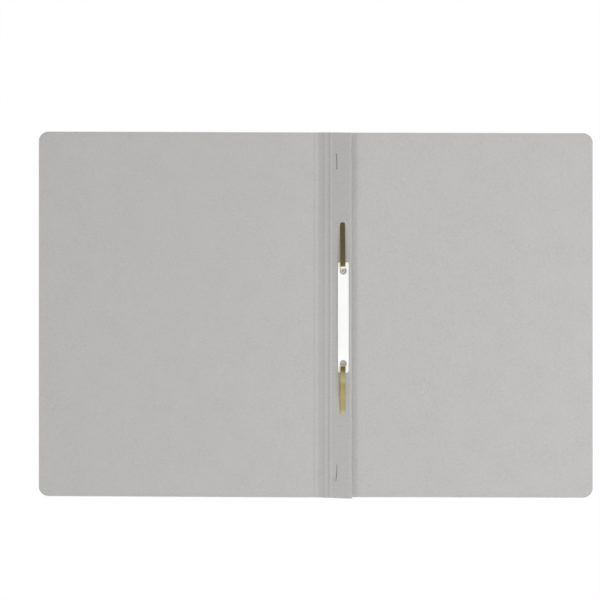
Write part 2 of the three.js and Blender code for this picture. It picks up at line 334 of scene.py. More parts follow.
def lower_line(along):
    """Middle line of the lower layer: a straight rise."""
    return BACK_LEFT + along, LOWER_MIDDLE + along * math.tan(LOWER_TILT)


def upper_line(along):
    """Middle line of the upper layer: a straight rise plus the pressed score lines."""
    z = UPPER_BASE + CARD / 2 / math.cos(UPPER_TILT) + along * math.tan(UPPER_TILT)
    return BACK_LEFT + along, z + flap_relief(along)


def corner_half(reach, edge):
    """Half height of a cover: full, but drawn in along a quarter circle before its free edge."""
    into = np.clip(CORNER_RADIUS - (edge - reach), 0.0, CORNER_RADIUS)
    return HALF_HEIGHT - CORNER_RADIUS + np.sqrt(CORNER_RADIUS ** 2 - into ** 2)


# Mesh makers

# Points closer than this, in metres, are merged
MERGE_DISTANCE = 1e-7
# Columns of points across a sheet of card
CARD_COLUMNS = 81
# The last row but one and the last row of a free end are as thick as these shares of the card
THINNING = (0.88, 0.55)


def vertex_places(mesh):
    """Coordinates of a mesh's vertices, as stored."""
    places = np.empty(len(mesh.vertices) * 3)
    mesh.vertices.foreach_get("co", places)
    return places.reshape(-1, 3)


def curve_shape(curve):
    """Vertex places and faces of the solid that a curve or a text makes, in its own unit."""
    holder = bpy.data.objects.new(curve.name, curve)
    bpy.context.scene.collection.objects.link(holder)
    mesh = bpy.data.meshes.new_from_object(holder.evaluated_get(bpy.context.evaluated_depsgraph_get()))
    bpy.data.objects.remove(holder)
    places = vertex_places(mesh)
    faces = [list(polygon.vertices) for polygon in mesh.polygons]
    bpy.data.meshes.remove(mesh)
    return places, faces


def finish_mesh(name, points, faces, material, smooth_angle=40.0, mark=None):
    """A mesh object at the origin from points in millimetres, with its faces turned outwards. mark(x, y, z)
    gives each point's share of painted light: painted shade on the card, and on the brass a painted highlight
    that also dulls the metal. It is kept as the attribute mark for the material."""
    mesh = bpy.data.meshes.new(name)
    mesh.from_pydata((np.asarray(points) * MM).tolist(), [], faces)
    work = bmesh.new()
    work.from_mesh(mesh)
    bmesh.ops.remove_doubles(work, verts=work.verts, dist=MERGE_DISTANCE)
    bmesh.ops.recalc_face_normals(work, faces=work.faces)
    work.to_mesh(mesh)
    work.free()
    if mark:
        shares = mark(*(vertex_places(mesh) / MM).T)
        mesh.attributes.new("mark", "FLOAT", "POINT").data.foreach_set("value", shares)
    mesh.shade_smooth()
    mesh.set_sharp_from_angle(angle=math.radians(smooth_angle))
    mesh.materials.append(material)
    piece = bpy.data.objects.new(name, mesh)
    bpy.context.scene.collection.objects.link(piece)
    return piece


def tube_faces(rings, around):
    """Quads between neighbouring rings of the same number of points, closed round each ring."""
    ring, step = np.meshgrid(np.arange(rings - 1), np.arange(around), indexing="ij")
    after = (step + 1) % around
    quads = np.stack([ring * around + step, ring * around + after, (ring + 1) * around + after,
                      (ring + 1) * around + step], axis=-1)
    return quads.reshape(-1, 4).tolist()


def unit_runs(path):
    """Unit directions along a path of points."""
    run = np.gradient(path, axis=0)
    return run / np.linalg.norm(run, axis=1, keepdims=True)


def card_sheet(name, middle, material, lift=None, half=None, free=None, pressed=0.0, skew=None, mark=None):
    """A sheet of card as a closed skin. Its middle line (x, z) is carried along the spine, each point is
    moved half the thickness to either side along the line's normal, and the long edges are rounded.
    lift(x, y) raises it, half is its half height at each point of the line, its free end (start or end)
    is thinned over its last two rows, pressed is the depth of a groove in the outer face, and skew(x) shifts
    it along the spine."""
    line = np.stack(middle, axis=1)
    if half is None:
        half = np.full(len(line), HALF_HEIGHT)
    run = unit_runs(line)
    normal = np.stack([-run[:, 1], run[:, 0]], axis=1)
    thick = np.full(len(line), CARD / 2)
    if free:
        thick[[1, 0] if free == "start" else [-2, -1]] *= THINNING
    columns = np.linspace(-1.0, 1.0, CARD_COLUMNS)[None, :] * (half[:, None] - CARD_EDGE_ROUND)
    flat = CARD / 2 - CARD_EDGE_ROUND

    def side(y, share):
        """Points of one row at a share of the half thickness."""
        depth = share * thick + (pressed if share < 0 else 0.0)
        offset = depth[:, None, None] * normal[:, None, :]
        place = np.broadcast_to(line[:, None, :] + offset, (len(line), y.shape[1], 2))
        rise = lift(place[..., 0], y) if lift else 0.0
        shift = skew(place[..., 0]) if skew else 0.0
        return np.stack([place[..., 0], y + shift, place[..., 1] + rise], axis=-1)

    right = half[:, None] - CARD_EDGE_ROUND * (1 - math.cos(math.pi / 4))
    outer = half[:, None]
    corner = (flat + CARD_EDGE_ROUND * math.sin(math.pi / 4)) / (CARD / 2)
    level = flat / (CARD / 2)
    parts = [side(columns, 1.0), side(right, corner), side(outer, level), side(outer, -level),
             side(right, -corner), side(columns[:, ::-1], -1.0), side(-right, -corner),
             side(-outer, -level), side(-outer, level), side(-right, corner)]
    rings = np.concatenate(parts, axis=1)
    count, around = rings.shape[:2]
    faces = tube_faces(count, around)
    wide = columns.shape[1]
    for row in (0, count - 1):
        base = row * around
        top = [base + i for i in range(wide)]
        under = [base + wide + 4 + wide - 1 - i for i in range(wide)]
        faces += [[top[i], top[i + 1], under[i + 1], under[i]] for i in range(wide - 1)]
        faces.append([top[-1]] + [base + wide + i for i in range(4)] + [under[-1]])
        faces.append([under[0]] + [base + 2 * wide + 4 + i for i in range(4)] + [top[0]])
    return finish_mesh(name, rings.reshape(-1, 3), faces, material, mark=mark)


def capped_tube(name, rings, material, mark=None):
    """A piece from rings of points, joined ring by ring and closed by a face at either end."""
    count, around = rings.shape[:2]
    faces = tube_faces(count, around)
    faces += [list(range(around)), list(range((count - 1) * around, count * around))]
    return finish_mesh(name, rings.reshape(-1, 3), faces, material, mark=mark)


def metal_strip(name, path, widths, material, mark=None):
    """The flat metal strip carried along a path: at each point it is as wide as widths says across the flap,
    as thick as the metal along the path's normal, and has bevelled edges."""
    normal = np.cross(LAYER_ALONG, unit_runs(path))
    half, edge = METAL / 2, METAL_EDGE
    wide = widths[:, None] / 2
    outline = [(1, 0, half - edge), (1, -edge, half), (-1, edge, half), (-1, 0, half - edge),
               (-1, 0, edge - half), (-1, edge, -half), (1, -edge, -half), (1, 0, edge - half)]
    rings = np.stack([path + (sign * wide + shift) * LAYER_ALONG + height * normal
                      for sign, shift, height in outline], axis=1)
    return capped_tube(name, rings, material, mark)


def wire_along(name, path, material, sides=12):
    """A round wire carried along a path: at each point a circle across the path, with its sides."""
    normal = np.cross(LAYER_ALONG, unit_runs(path))
    cosine, sine = circle_points(1.0, sides).T
    ring = cosine[None, :, None] * normal[:, None, :] + sine[None, :, None] * LAYER_ALONG
    return capped_tube(name, path[:, None, :] + WIRE / 2 * ring, material)


def circle_points(radius, count):
    """Evenly spaced points of a circle round the origin of a plane."""
    turn = np.arange(count) * 2 * math.pi / count
    return radius * np.stack([np.cos(turn), np.sin(turn)], axis=1)


def arc_points(centre, radius, first, last, count):
    """Points of an arc in a plane, from one angle to another."""
    turn = np.linspace(first, last, count)
    return np.stack([centre[0] + radius * np.cos(turn), centre[1] + radius * np.sin(turn)], axis=1)


def in_layer(along, y, up):
    """Points given in the frame of the upper layer, as places in the folder."""
    along, y, up = np.broadcast_arrays(along, y, up)
    return LAYER_START + along[..., None] * LAYER_ALONG + y[..., None] * np.array([0, 1, 0]) \
        + up[..., None] * LAYER_UP


# Materials

BLACK = (0.0, 0.0, 0.0, 1.0)
WHITE = (1.0, 1.0, 1.0, 1.0)


def fill_inputs(node, inputs):
    """Links or sets a node's inputs."""
    for key, value in inputs.items():
        if isinstance(value, bpy.types.NodeSocket):
            node.id_data.links.new(value, node.inputs[key])
        else:
            node.inputs[key].default_value = value


def node_adder(tree):
    """A function that adds a node to a tree, with its settings and its inputs."""
    def add(kind, inputs=(), **settings):
        node = tree.nodes.new(kind)
        for key, value in settings.items():
            setattr(node, key, value)
        fill_inputs(node, dict(inputs))
        return node

    return add


def new_material(name):
    """A node material, its shader and a function that adds a node to it."""
    material = bpy.data.materials.new(name)
    material.use_nodes = True
    tree = material.node_tree
    return material, tree.nodes["Principled BSDF"], node_adder(tree)


def object_noise(add, scale, detail=3.0, stretch=(1.0, 1.0, 1.0), roughness=0.5):
    """Noise on Object coordinates, drawn out along an axis by stretch."""
    place = add("ShaderNodeTexCoord").outputs["Object"]
    mapped = add("ShaderNodeMapping", {"Vector": place, "Scale": stretch}).outputs["Vector"]
    values = {"Vector": mapped, "Scale": scale, "Detail": detail, "Roughness": roughness}
    return add("ShaderNodeTexNoise", values).outputs["Fac"]


def ramp(add, fac, low, high, start=0.0, end=1.0):
    """Maps fac from low..high to start..end, held at both ends."""
    values = {"Value": fac, "From Min": low, "From Max": high, "To Min": start, "To Max": end}
    return add("ShaderNodeMapRange", values, clamp=True).outputs["Result"]


def tint(add, fac, under, over):
    """Mixes two colours by fac."""
    values = {0: fac, 6: under, 7: over}
    return add("ShaderNodeMix", values, data_type="RGBA", clamp_factor=False).outputs[2]


def marked(add):
    """The attribute mark of the surface."""
    return add("ShaderNodeAttribute", attribute_name="mark").outputs["Fac"]


def bump(add, height, strength, depth):
    """Normals bent by a height pattern, with its depth in metres."""
    values = {"Height": height, "Strength": strength, "Distance": depth}
    return add("ShaderNodeBump", values).outputs["Normal"]


def grey_card():
    """Recycled grey card: cloudy pulp, short pale and dark fibres in two directions, specks and a fine tooth,
    darkened by the attribute mark, which holds painted shade and painted highlights. Beside the upper riser a
    dark spot of painted shade, for the slot where the riser comes through, is painted with a pale rim."""
    material, shader, add = new_material("grey_card")
    clouds = ramp(add, object_noise(add, 45.0, 4.0), 0.3, 0.7)
    colour = tint(add, clouds, linear(181, 180, 178), linear(186, 185, 183))
    pulp = ramp(add, object_noise(add, 900.0), 0.35, 0.65)
    colour = tint(add, pulp, colour, linear(189, 188, 186))
    for stretch, scale in (((1.0, 0.22, 1.0), 1500.0), ((0.25, 1.0, 1.0), 1350.0)):
        pale = ramp(add, object_noise(add, scale, 1.5, stretch), 0.64, 0.76, 0.0, 0.3)
        colour = tint(add, pale, colour, linear(214, 213, 210))
        dark = ramp(add, object_noise(add, scale * 0.83, 1.5, stretch), 0.34, 0.25, 0.0, 0.3)
        colour = tint(add, dark, colour, linear(160, 159, 157))
    specks = ramp(add, object_noise(add, 2300.0, 0.0), 0.2, 0.14, 0.0, 0.35)
    colour = tint(add, specks, colour, linear(128, 125, 118))
    # Painted shade and painted highlight: the attribute mark darkens the card, and a negative mark makes it
    # paler
    colour = tint(add, marked(add), colour, BLACK)
    # Painted shade of the slot where the upper riser comes through the card: a dark spot with a pale rim
    spot = tuple(in_layer(PRONG_AXIS + PINHOLE[0], UPPER_BEND[1] + PINHOLE[1], CARD) * MM)
    place = add("ShaderNodeTexCoord").outputs["Object"]
    gap = add("ShaderNodeVectorMath", {0: place, 1: spot}, operation="DISTANCE").outputs["Value"]
    rim = ramp(add, gap, PINHOLE_RIM[1] * MM, PINHOLE_RIM[0] * MM, 0.0, 0.7)
    colour = tint(add, rim, colour, linear(226, 225, 222))
    middle = ramp(add, gap, PINHOLE_SHADE[1] * MM, PINHOLE_SHADE[0] * MM, 0.0, 0.8)
    fill_inputs(shader, {
        "Base Color": tint(add, middle, colour, linear(48, 46, 42)),
        "Roughness": ramp(add, pulp, 0.0, 1.0, 0.84, 0.95),
        "Specular IOR Level": 0.25,
        "Normal": bump(add, object_noise(add, 2600.0, 4.0, roughness=0.65), 0.35, 0.00006),
    })
    return material


def soft_brass():
    """Lacquered brass strip: warm metal with faint drawing lines along its length. Where the attribute mark
    is 1 the metal has a pale cream colour, a painted highlight for the bend and the reflections along the
    prong, and is duller there, as lacquer crazed by bending is."""
    material, shader, add = new_material("soft_brass")
    patches = ramp(add, object_noise(add, 260.0, 4.0), 0.35, 0.65)
    colour = tint(add, patches, linear(170, 152, 88), linear(164, 146, 82))
    lines = object_noise(add, 3200.0, 2.0, (1.0, 0.02, 1.0))
    colour = tint(add, ramp(add, lines, 0.35, 0.7, 0.0, 0.2), colour, linear(182, 168, 112))
    # Painted highlight: the attribute mark gives the metal the pale colour of the bend's highlight and of the
    # reflections along the prong, and makes it rougher
    pale_share = marked(add)
    bright = ramp(add, patches, 0.0, 1.0, 0.26, 0.29)
    fill_inputs(shader, {
        "Base Color": tint(add, pale_share, colour, linear(237, 235, 194)),
        "Metallic": 1.0,
        "Roughness": ramp(add, pale_share, 0.0, 1.0, bright, 0.5),
        "Coat Weight": 0.4,
        "Coat Roughness": 0.15,
        "Normal": bump(add, lines, 0.1, 0.00002),
    })
    return material


def white_plastic():
    """Moulded white plastic: faint flow clouds and a very fine orange-peel surface."""
    material, shader, add = new_material("white_plastic")
    clouds = ramp(add, object_noise(add, 120.0, 2.0), 0.3, 0.7)
    fill_inputs(shader, {
        "Base Color": tint(add, clouds, linear(255, 255, 254), linear(251, 251, 249)),
        "Roughness": ramp(add, clouds, 0.0, 1.0, 0.34, 0.46),
        "Subsurface Weight": 0.05,
        "Subsurface Radius": (0.001, 0.001, 0.001),
        "Normal": bump(add, object_noise(add, 1400.0, 2.0), 0.12, 0.00003),
    })
    return material


def steel_wire():
    """Drawn steel wire with fine scratches."""
    material, shader, add = new_material("steel_wire")
    lines = object_noise(add, 5200.0, 2.0, (1.0, 0.05, 1.0))
    fill_inputs(shader, {
        "Base Color": tint(add, ramp(add, lines, 0.3, 0.7), linear(126, 126, 126), linear(92, 92, 91)),
        "Metallic": 1.0,
        "Roughness": ramp(add, lines, 0.3, 0.7, 0.28, 0.42),
    })
    return material


def print_ink():
    """Near-black ink that lets a little of the card's tooth show."""
    material, shader, add = new_material("print_ink")
    pale_share = ramp(add, object_noise(add, 1900.0), 0.3, 0.75)
    fill_inputs(shader, {
        "Base Color": tint(add, pale_share, linear(38, 38, 40), linear(66, 66, 68)),
        "Roughness": ramp(add, pale_share, 0.0, 1.0, 0.5, 0.75),
    })
    return material


# Pieces of card

# Rows of points lie close together up to this far beyond the flap and beyond the crease
CLOSE_BACK = 11.0
CLOSE_FRONT = 12.0
# The last rows of a free edge lie this far before it
EDGE_ROWS = (CARD_EDGE_ROUND, 0.03, 0.0)
# The flap's layers end and its folded edge starts this far before the centre of the edge's arc
ARC_LEAD = 0.5


def back_lift(x, y):
    """Waves of the back cover, none near the spine."""
    return waves(x, y) * smooth(WAVE_START, WAVE_FULL, x - BACK_LEFT)


def front_lift(x, y):
    """Waves of the front cover, none near the crease, and a hair's width above the table."""
    return HAIR + waves(x, y) * smooth(WAVE_START, WAVE_FULL, CREASE[0] - x)


def strip_lift(x, y):
    """A hair's width above the solid that it stands for, run out before the spine."""
    return HAIR * smooth(0.0, HAIR_FULL, SPINE[0] - x)


def free_edge(end):
    """Rows through a rounded corner, closer together towards the edge, and the last rows at the edge."""
    turn = np.linspace(0.0, math.pi / 2, 14)[:-1]
    corner = CARD_EDGE_ROUND + (CORNER_RADIUS - CARD_EDGE_ROUND) * (1 - np.sin(turn))
    return end - np.concatenate([corner, EDGE_ROWS])


def make_back_panel(card):
    """Back cover: a flat sheet from the spine to its free edge, with two rounded corners."""
    close = BACK_LEFT + FLAP_WIDTH + CLOSE_BACK
    under = np.linspace(BACK_LEFT, close, 61)[:-1]
    plain = np.linspace(close, BACK_RIGHT - CORNER_RADIUS, 46)[:-1]
    x = np.concatenate([under, plain, free_edge(BACK_RIGHT)])
    piece = card_sheet("back_panel", (x, np.full(len(x), CARD / 2)), card, lift=back_lift,
                       half=corner_half(x, BACK_RIGHT), free="end", skew=back_skew, mark=back_painted_shadow)
    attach(piece, "back")
    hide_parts("back_cover")


def make_front_panel(card):
    """Front cover: a sheet from the crease to its free edge, with two rounded corners."""
    far = FRONT_REACH - FRONT_TRIM
    close = CREASE_REACH + CLOSE_FRONT
    near = np.linspace(CREASE_REACH + CREASE_BEND, close, 8)[:-1]
    plain = np.linspace(close, far - CORNER_RADIUS, 52)[:-1]
    reach = np.concatenate([near, plain, free_edge(far)])[::-1]
    piece = card_sheet("front_panel", front_line(reach), card, lift=front_lift,
                       half=corner_half(reach, far), free="start", skew=front_skew)
    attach(piece, "front")
    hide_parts("front_cover")


def make_strip_panel(card):
    """Hinge strip: the narrow sheet between the spine and the crease."""
    reach = np.linspace(SPINE_BEND, CREASE_REACH - CREASE_BEND, 40)[::-1]
    piece = card_sheet("strip_panel", front_line(reach), card, lift=strip_lift, mark=strip_painted_shade)
    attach(piece, "strip")
    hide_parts("hinge_strip")


def make_crease_fold(card):
    """The crease: the few millimetres of card that bend between the hinge strip and the front cover."""
    reach = np.linspace(CREASE_REACH - CREASE_BEND, CREASE_REACH + CREASE_BEND, 25)[::-1]
    piece = card_sheet("crease_fold", front_line(reach), card, lift=strip_lift, pressed=crease_press(reach))
    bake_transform(piece)


def make_spine_folds(card):
    """The spine: card that bends between the hinge strip and the spine line, between the spine line and
    the flap, and round the half circle that joins the back cover to the flap's lower layer."""

    reach = np.linspace(0.0, SPINE_BEND, 15)[::-1]
    outer = card_sheet("spine_fold_front", front_line(reach), card, lift=strip_lift, mark=strip_painted_shade)
    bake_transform(outer)

    along = np.linspace(SPINE[0] - BACK_LEFT, SPINE_BEND, 15)
    inner = card_sheet("spine_fold_flap", upper_line(along), card, mark=flap_painted_light)
    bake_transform(inner)

    radius = (LOWER_MIDDLE - CARD / 2) / 2
    bend = arc_points((BACK_LEFT, CARD / 2 + radius), radius, 1.5 * math.pi, 0.5 * math.pi, 15)
    under = card_sheet("spine_fold_back", bend.T, card)
    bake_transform(under)


def make_flap_card(card):
    """Flap: the lower layer runs out from the spine, turns round the folded edge on an arc and comes back
    as the upper layer, with two pressed score lines."""
    centre_x, centre_z, radius = flap_arc()
    first, last = LOWER_TILT - math.pi / 2, UPPER_TILT + math.pi / 2
    lower = np.stack(lower_line(np.linspace(0.0, centre_x - ARC_LEAD, 24)), axis=1)
    edge = arc_points((BACK_LEFT + centre_x, centre_z), radius, first, last, 25)
    upper = np.stack(upper_line(np.linspace(centre_x - ARC_LEAD, SPINE_BEND, 90)), axis=1)
    line = np.concatenate([lower, edge, upper])
    piece = card_sheet("flap_card", line.T, card, skew=flap_skew, mark=flap_painted_light)
    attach(piece, "flap")
    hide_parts("fastener_flap")


# Fastener

# Share of painted highlight on each prong's metal, which also dulls it: at its bend, then soft steps by the
# distance from the riser
PRONG_SHEEN_AND_WEAR = {
    "upper": (0.92, ((-0.74, 1.6, 3.4),)),
    "lower": (0.5, ((-0.5, 0.6, 2.8), (0.24, 4.8, 7.4), (-0.24, 13.5, 17.5), (0.08, 18.0, 31.0),
                    (0.27, 37.0, 43.0))),
}
# The rounded tip of a prong ends in this half width, and the plain rows stop this far before its close rows
TIP_END = 0.2
TIP_GAP = 0.2


def prong_path(name, side):
    """Middle line of one prong: up its riser, round the bend and down to the tip in a shallow arch, which
    for the lower prong is higher and lies nearer its bend."""
    reach = PRONG_LENGTHS[name]
    shoulder = BEND_HEIGHT - BEND_RADIUS
    riser = np.stack([np.zeros(8), np.linspace(BAR_BASE, shoulder, 8)], axis=1)
    droop = math.asin((BEND_HEIGHT - PRONG_TIP_HEIGHT) / reach)
    lift = math.pi * PRONG_ARCHES[name] / reach
    bend = arc_points((BEND_RADIUS, shoulder), BEND_RADIUS, math.pi, math.pi / 2 - droop + lift, 15)[1:]
    far = np.linspace(0.0, 1.0, 40)[1:]
    last = np.array([reach * math.cos(droop), PRONG_TIP_HEIGHT])
    run = bend[-1] + far[:, None] * (last - bend[-1])
    run[:, 1] += PRONG_ARCHES[name] * np.sin(math.pi * far) * (1 - far) ** (1 if side > 0 else 2)
    path = np.concatenate([riser, bend, run])
    y = FASTENER_MIDDLE + side * (RISER_REACH + path[:, 0])
    drift = PRONG_DRIFTS[name] * path[:, 0] / reach
    return in_layer(PRONG_AXIS + drift, y, path[:, 1])


def path_lengths(path):
    """Length of a path up to each of its points."""
    return np.concatenate([[0.0], np.cumsum(np.linalg.norm(np.diff(path, axis=0), axis=1))])


def beyond_riser(y):
    """Distance of a place from the riser, outwards along the spine."""
    return np.abs(y - FASTENER_MIDDLE) - RISER_REACH


def prong_widths(path):
    """Full width, a little less up to the bend so that the strip clears the bar's hole, and drawn in along a
    half circle at the tip."""
    full = PRONG_NECK + (PRONG_WIDTH - PRONG_NECK) * smooth(NECK_END, NECK_FULL, beyond_riser(path[:, 1]))
    left = path_lengths(path[::-1])[::-1]
    radius = PRONG_WIDTH / 2
    into = np.clip(radius - left, 0.0, radius)
    return full * np.sqrt(np.maximum(radius ** 2 - into ** 2, TIP_END ** 2)) / radius


def refine_tip(path):
    """Adds close rows over the last half width of a path, where its tip is rounded."""
    run = path_lengths(path)
    turn = np.linspace(0.0, math.pi / 2, 12)
    tip = run[-1] - PRONG_WIDTH / 2 * (1 - np.sin(turn))
    places = np.unique(np.concatenate([run[run < tip[0] - TIP_GAP], tip]))
    return np.stack([np.interp(places, run, path[:, i]) for i in range(3)], axis=1)


def sheen_and_wear_share(name):
    """A function that gives a prong's share of painted highlight and dulling at any place."""
    bend, rows = PRONG_SHEEN_AND_WEAR[name]
    return lambda x, y, z: bend + steps(beyond_riser(y), rows)


def make_prongs(brass):
    """Both prongs, each bent over round its joint at the top of its riser."""
    for name, side, joint in (("upper", 1, UPPER_BEND), ("lower", -1, LOWER_BEND)):
        path = refine_tip(prong_path(name, side))
        piece = metal_strip("brass_prong_" + name, path, prong_widths(path), brass, sheen_and_wear_share(name))
        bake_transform(piece)
        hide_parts("prong_" + name)


def make_fastener_base(brass):
    """Base of the strip between the layers, turned up at both ends into the risers."""
    corner = BASE_HEIGHT + BASE_RADIUS
    riser = np.stack([np.zeros(5), np.linspace(BAR_BASE, corner, 5)], axis=1)
    bend = arc_points((BASE_RADIUS, corner), BASE_RADIUS, math.pi, 1.5 * math.pi, 8)[1:]
    left = np.concatenate([riser, bend]) - (RISER_REACH, 0.0)
    path = np.concatenate([left, left[::-1] * (-1.0, 1.0)])
    points = in_layer(PRONG_AXIS, FASTENER_MIDDLE + path[:, 0], path[:, 1])
    piece = metal_strip("brass_base", points, np.full(len(points), PRONG_WIDTH), brass)
    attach(piece, "flap")
    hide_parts("fastener_strip")


def make_cover_bar(plastic):
    """White bar: a flat outline with rounded corners and two round holes, thickened with rounded edges."""
    x = BAR_WIDTH / 2 - BAR_ROUND - BAR_CORNER
    y = BAR_HALF - BAR_ROUND - BAR_CORNER
    quarter = math.pi / 2
    outline = np.concatenate([arc_points(centre, BAR_CORNER, i * quarter, (i + 1) * quarter, 8)
                              for i, centre in enumerate(((x, y), (-x, y), (-x, -y), (x, -y)))])
    ring = circle_points(BAR_HOLE + BAR_ROUND, 40)
    curve = bpy.data.curves.new("white_bar_outline", "CURVE")
    curve.dimensions = "2D"
    curve.fill_mode = "BOTH"
    for points in (outline + (0, BAR_SHIFT), ring + (0, UPPER_HOLE), ring + (0, LOWER_HOLE)):
        spline = curve.splines.new("POLY")
        spline.points.add(len(points) - 1)
        flat = np.concatenate([points * MM, np.zeros((len(points), 1)), np.ones((len(points), 1))], axis=1)
        spline.points.foreach_set("co", flat.ravel())
        spline.use_cyclic_u = True
    curve.extrude = (BAR_THICKNESS / 2 - BAR_ROUND) * MM
    curve.bevel_depth = BAR_ROUND * MM
    curve.bevel_resolution = 4
    places, faces = curve_shape(curve)
    along, y, up = (places / MM).T
    points = in_layer(PRONG_AXIS + along, FASTENER_MIDDLE + y, BAR_BASE + BAR_THICKNESS / 2 + up)
    piece = finish_mesh("white_bar", points, faces, plastic, smooth_angle=30.0)
    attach(piece, "bar")
    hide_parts("cover_bar")


def make_staples(steel):
    """Two wire staples: a crown over the flap, legs through it and tails clinched inwards below it."""
    top = CARD + WIRE / 2 + STAPLE_CROWN_GAP
    under = lower_line(STAPLE_AXIS)[1] - CARD / 2 - UPPER_BASE - STAPLE_AXIS * math.tan(UPPER_TILT)
    tail = under - WIRE / 2 - STAPLE_TAIL_GAP
    half = STAPLE_HALF - WIRE / 2
    inner = half - STAPLE_BEND
    crown = np.array([[inner, top], [0.0, top + STAPLE_CROWN_RISE]])
    leg = arc_points((inner, top - STAPLE_BEND), STAPLE_BEND, 0.0, math.pi / 2, 7)
    foot = arc_points((inner, tail + STAPLE_BEND), STAPLE_BEND, -math.pi / 2, 0.0, 7)
    end = np.array([[half - STAPLE_TAIL, tail + STAPLE_TAIL_RISE]])
    right = np.concatenate([end, foot, leg, crown])
    path = np.concatenate([right, right[::-1][1:] * (-1.0, 1.0)])
    for name, side in (("upper", 1), ("lower", -1)):
        reach, bent = STAPLE_KINKS[name]
        kink = -bent * np.clip((side * path[:, 0] - half + reach) / reach, 0.0, 1.0)
        middle = FASTENER_MIDDLE + side * STAPLE_REACH
        points = in_layer(STAPLE_AXIS + kink, middle + path[:, 0], path[:, 1])
        piece = wire_along("wire_staple_" + name, points, steel)
        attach(piece, "flap")
        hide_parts("staple_" + name)


# Print on the outer face of the front sheet, in millimetres from the spine and above the middle

INK = 0.02
INK_SINK = 0.01
THIN = 0.35
THICK = 0.9
# Rules from beside the spine across the crease: how high each lies and where it starts
SPINE_MARKS = ((140.1, 1.8), (92.5, 1.8), (-1.0, 3.2), (-95.0, 3.2), (-142.2, 3.2))
MARK_END = 36.9
MARK_LINE = 24.4
TITLE_START, TITLE_END = 48.0, 221.3
TITLE_RULES = ((140.5, THICK), (93.2, THIN), (75.1, THIN), (56.9, THIN))
FORM_START, FORM_END = 47.8, 124.6
FORM_TOP, FORM_FOOT = -79.0, -111.3
FORM_ROWS = (-87.2, -95.0, -103.1)
# Where the rules of the form's two columns start and end, and where their numerals stand, from FORM_START
FORM_RULES = (9.6, 50.6, 59.3)
FORM_NUMERALS = (2.0, 53.5)
NUMERAL_SIZE = 4.6
SQUARE_PLACE, SQUARE_SIZE = (97.0, -141.0), 11.0
BLOCK_START, BLOCK_END = 188.4, 220.7
BLOCK_LOW, BLOCK_HIGH = -139.7, -127.5
# The block's strokes: how many, and the shares of the pitch that three in turn take up
STROKES = 21
STROKE_SHARES = (0.4, 0.62, 0.62)
# Length of the parts in which a rule crosses the crease
CREASE_PART = 0.5


def outer_face(reach):
    """Height of the sheet's outer face at a distance from the spine."""
    x, z = front_line(reach)
    return x, z - CARD / 2 + crease_press(reach)


def ink_boxes(name, boxes, lift, ink, pitch=3.0):
    """Flat bars of ink: each is a grid of points on the outer face and the same grid a hair below it,
    so that it follows the sheet's waves. pitch is the grid's spacing."""
    points, faces, base = [], [], 0
    for near, far, low, high in boxes:
        nx = max(2, int((far - near) / pitch) + 2)
        ny = max(2, int((high - low) / pitch) + 2)
        reach, y = np.meshgrid(np.linspace(near, far, nx), np.linspace(low, high, ny), indexing="ij")
        x, z = outer_face(reach)
        z = z + lift(x, y)
        layers = [np.stack([x, y, z + INK_SINK], axis=-1), np.stack([x, y, z - INK], axis=-1)]
        points += [layer.reshape(-1, 3) for layer in layers]
        index = np.arange(nx * ny).reshape(nx, ny) + base
        quads = np.stack([index[:-1, :-1], index[1:, :-1], index[1:, 1:], index[:-1, 1:]], axis=-1)
        quads = quads.reshape(-1, 4)
        faces += quads.tolist() + (quads[:, ::-1] + nx * ny).tolist()
        rim = np.concatenate([index[:, 0], index[-1, 1:], index[-2::-1, -1], index[0, -2:0:-1]])
        after = np.roll(rim, -1)
        faces += np.stack([rim, rim + nx * ny, after + nx * ny, after], axis=-1).tolist()
        base += 2 * nx * ny
    return finish_mesh(name, np.concatenate(points), faces, ink)


def rules(marks, width):
    """Bars along X from marks that give the start, the end and the height of each."""
    return [(start, end, y - width / 2, y + width / 2) for start, end, y in marks]


def front_bars():
    """Every printed bar beyond the crease: rules, a form with three rows, an empty square and a block of
    strokes."""
    past = CREASE_REACH + CREASE_BEND
    bars = rules([(past, MARK_END, y) for y, _ in SPINE_MARKS], THIN)
    bars.append((MARK_LINE - THIN / 2, MARK_LINE + THIN / 2, SPINE_MARKS[-1][0], SPINE_MARKS[0][0]))
    for y, width in TITLE_RULES:
        bars += rules([(TITLE_START, TITLE_END, y)], width)
    bars += rules([(FORM_START, FORM_END, y) for y in (FORM_TOP, FORM_FOOT)], THICK)
    first, first_end, second = (FORM_START + place for place in FORM_RULES)
    for y in FORM_ROWS[:2]:
        bars += [(first, first_end, y - THIN, y), (second, FORM_END, y - THIN, y)]
    bars.append((first, FORM_END, FORM_ROWS[2] - THIN, FORM_ROWS[2]))
    left, foot = SQUARE_PLACE
    right, top = left + SQUARE_SIZE, foot + SQUARE_SIZE
    bars += [(left, right, foot, foot + THIN), (left, right, top - THIN, top),
             (left, left + THIN, foot + THIN, top - THIN), (right - THIN, right, foot + THIN, top - THIN)]
    pitch = (BLOCK_END - BLOCK_START) / STROKES
    for i in range(STROKES):
        near = BLOCK_START + i * pitch
        bars.append((near, near + pitch * STROKE_SHARES[i % 3], BLOCK_LOW, BLOCK_HIGH))
    return bars


